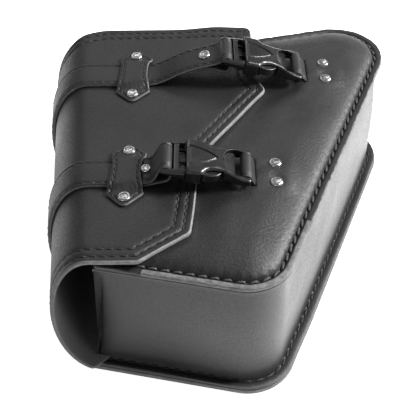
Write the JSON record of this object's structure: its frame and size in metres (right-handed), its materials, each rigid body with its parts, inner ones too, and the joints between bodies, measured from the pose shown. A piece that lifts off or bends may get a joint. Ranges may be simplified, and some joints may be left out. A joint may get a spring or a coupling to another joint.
{
  "type": "motorcycle side bag",
  "caption": "Moulded black leather motorcycle side bag with a curved stepped flap, two riveted straps and plastic side-release buckles.",
  "frame": {"origin": "centre of the footprint, on the flat back face that lies against the machine", "axes": "+Z outwards from the machine through the front; -X is up when hung; Y runs along the machine"},
  "size_m": [0.2602, 0.2836, 0.1374],
  "materials": {
    "black_leather": "semi-gloss smooth leather",
    "strap_leather": "satin leather, raw edges",
    "board": "matt sheet",
    "foam": "open-cell foam",
    "buckle_plastic": "fine-grained moulding",
    "rivet_steel": "bright nickel plate"
  },
  "bodies": {
    "bag_body": {"back_panel": "black_leather", "back_board": "board", "gusset": "black_leather", "front_panel": "black_leather", "front_pad": "foam", "front_board": "board", "flap_root": "black_leather", "eyelet_1": "rivet_steel", "eyelet_2": "rivet_steel", "eyelet_3": "rivet_steel", "eyelet_4": "rivet_steel", "near_female": "buckle_plastic", "near_anchor_strap": "strap_leather", "near_anchor_rivet_1": "rivet_steel", "near_anchor_rivet_2": "rivet_steel", "far_female": "buckle_plastic", "far_anchor_strap": "strap_leather", "far_anchor_rivet_1": "rivet_steel", "far_anchor_rivet_2": "rivet_steel"},
    "flap": {"flap": "black_leather", "near_strap": "strap_leather", "near_keeper": "strap_leather", "near_keeper_rivet_1": "rivet_steel", "near_keeper_rivet_2": "rivet_steel", "near_tail": "strap_leather", "near_tail_rivet": "rivet_steel", "far_strap": "strap_leather", "far_keeper": "strap_leather", "far_keeper_rivet_1": "rivet_steel", "far_keeper_rivet_2": "rivet_steel", "far_tail": "strap_leather"},
    "near_tongue": {"near_male": "buckle_plastic"},
    "near_arm_1": {"near_arm_1": "buckle_plastic"},
    "near_arm_2": {"near_arm_2": "buckle_plastic"},
    "far_tongue": {"far_male": "buckle_plastic", "far_tail_rivet": "rivet_steel"},
    "far_arm_1": {"far_arm_1": "buckle_plastic"},
    "far_arm_2": {"far_arm_2": "buckle_plastic"}
  },
  "joints": [
    {"name": "flap_open", "type": "hinge", "parent": "bag_body", "child": "flap", "pos_m": [-0.11014, -0.01197, 0.01841], "axis": [0.0985, -0.9951, 0], "range_deg": [0, 100]},
    {"name": "near_release", "type": "slide", "parent": "flap", "child": "near_tongue", "axis": [-0.983, -0.024, 0.1822], "range_m": [0, 0.028], "deforming": ["near_tail", "near_arm_1", "near_arm_2"]},
    {"name": "near_press_1", "type": "hinge", "parent": "near_tongue", "child": "near_arm_1", "pos_m": [-0.02272, -0.05333, 0.12595], "axis": [0.1822, 0.0045, 0.9833], "range_deg": [0, 9], "stiffness_Nm_per_rad": 0.06},
    {"name": "near_press_2", "type": "hinge", "parent": "near_tongue", "child": "near_arm_2", "pos_m": [-0.02323, -0.03233, 0.12595], "axis": [-0.1822, -0.0045, -0.9833], "range_deg": [0, 9], "stiffness_Nm_per_rad": 0.06},
    {"name": "far_release", "type": "slide", "parent": "flap", "child": "far_tongue", "axis": [-0.9555, -0.04, 0.2924], "range_m": [0, 0.028], "deforming": ["far_tail", "far_arm_1", "far_arm_2"]},
    {"name": "far_press_1", "type": "hinge", "parent": "far_tongue", "child": "far_arm_1", "pos_m": [0.01631, 0.05871, 0.13099], "axis": [0.2921, 0.0122, 0.9563], "range_deg": [0, 9], "stiffness_Nm_per_rad": 0.06},
    {"name": "far_press_2", "type": "hinge", "parent": "far_tongue", "child": "far_arm_2", "pos_m": [0.01543, 0.07969, 0.13099], "axis": [-0.2921, -0.0122, -0.9563], "range_deg": [0, 9], "stiffness_Nm_per_rad": 0.06}
  ],
  "couplings": [
    {"joint": "near_press_2", "follows": "near_press_1", "ratio": 1},
    {"joint": "far_press_2", "follows": "far_press_1", "ratio": 1}
  ]
}
